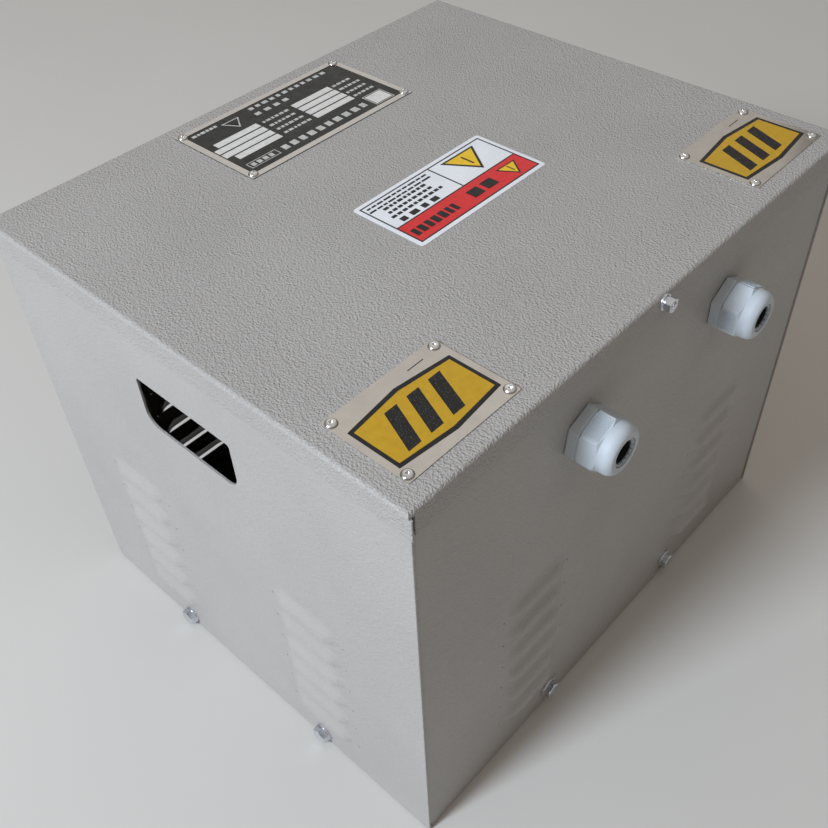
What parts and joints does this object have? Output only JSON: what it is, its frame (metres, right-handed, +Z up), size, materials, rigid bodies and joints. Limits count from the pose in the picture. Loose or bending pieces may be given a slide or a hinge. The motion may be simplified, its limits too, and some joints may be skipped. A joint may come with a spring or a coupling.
{
  "type": "cased dry-type three-phase transformer",
  "caption": "Sheet-steel cased dry transformer: louvred box with hand holes, two cable glands, an earth terminal, rivet-fixed plates and a lift-off hood over a three-limb core.",
  "frame": {"origin": "centre of the base tray's flat underside, which stands on the floor", "axes": "+X along the wide cable-entry face, -Y out of the cable-entry face, +Z up"},
  "size_m": [0.3708, 0.3344, 0.2918],
  "materials": {
    "powder_coat": "textured powder coat, satin",
    "base_coat": "powder coat, satin",
    "gland_nylon": "moulded nylon, satin",
    "black_rubber": "matte",
    "zinc_plate": "bright zinc plating",
    "rivet_aluminium": "bright",
    "plate_black": "black anodised face with a bright rim",
    "plate_steel": "polished, with a printed yellow field",
    "label_vinyl": "printed vinyl film",
    "core_steel": "varnished laminations",
    "former_board": "insulating board",
    "wound_copper": "enamelled copper under varnish",
    "clamp_paint": "black enamel",
    "terminal_laminate": "phenolic laminate",
    "brass": "bright",
    "lead_red": "matte insulation",
    "lead_black": "matte insulation"
  },
  "bodies": {
    "base": {"base_tray": "base_coat", "hood_bolts": "zinc_plate", "hood_bolt_washers": "zinc_plate", "clinch_nuts": "zinc_plate", "core_e_stack": "core_steel", "core_i_stack": "core_steel", "left_coil_former": "former_board", "middle_coil_former": "former_board", "right_coil_former": "former_board", "left_lv_winding": "wound_copper", "middle_lv_winding": "wound_copper", "right_lv_winding": "wound_copper", "left_hv_winding": "wound_copper", "middle_hv_winding": "wound_copper", "right_hv_winding": "wound_copper", "front_lower_clamp": "clamp_paint", "front_upper_clamp": "clamp_paint", "rear_lower_clamp": "clamp_paint", "rear_upper_clamp": "clamp_paint", "core_bolts": "zinc_plate", "core_bolt_nuts": "zinc_plate", "isolator_pads": "black_rubber", "weld_studs": "zinc_plate", "foot_nuts": "zinc_plate", "board_pillars": "zinc_plate", "terminal_board": "terminal_laminate", "board_screws": "zinc_plate", "terminal_studs": "brass", "terminal_nuts": "brass", "hv_leads": "lead_red", "lv_leads": "lead_black"},
    "hood": {"lid_tray": "powder_coat", "front_panel": "powder_coat", "rear_panel": "powder_coat", "left_panel": "powder_coat", "right_panel": "powder_coat", "left_gland_body": "gland_nylon", "left_gland_gasket": "black_rubber", "left_gland_locknut": "gland_nylon", "left_gland_seal": "black_rubber", "right_gland_body": "gland_nylon", "right_gland_gasket": "black_rubber", "right_gland_locknut": "gland_nylon", "right_gland_seal": "black_rubber", "earth_screw": "zinc_plate", "earth_washer": "zinc_plate", "earth_split_washer": "zinc_plate", "nameplate": "plate_black", "nameplate_rivets": "rivet_aluminium", "left_mark_plate": "plate_steel", "right_mark_plate": "plate_steel", "mark_plate_rivets": "rivet_aluminium", "caution_label": "label_vinyl"},
    "left_dome_nut": {"left_gland_dome_nut": "gland_nylon"},
    "right_dome_nut": {"right_gland_dome_nut": "gland_nylon"},
    "earth_nut": {"earth_nut": "zinc_plate"}
  },
  "joints": [
    {"name": "hood_lift", "type": "slide", "parent": "base", "child": "hood", "axis": [0, 0, 1], "range_m": [0, 0.3]},
    {"name": "left_dome_nut_turn", "type": "hinge", "parent": "hood", "child": "left_dome_nut", "pos_m": [-0.0624, -0.1675, 0.2432], "axis": [0, -1, 0], "continuous": true},
    {"name": "right_dome_nut_turn", "type": "hinge", "parent": "hood", "child": "right_dome_nut", "pos_m": [0.0641, -0.1675, 0.2432], "axis": [0, -1, 0], "continuous": true},
    {"name": "earth_nut_turn", "type": "hinge", "parent": "hood", "child": "earth_nut", "pos_m": [-0.0055, -0.1576, 0.2852], "axis": [0, -1, 0], "continuous": true}
  ]
}
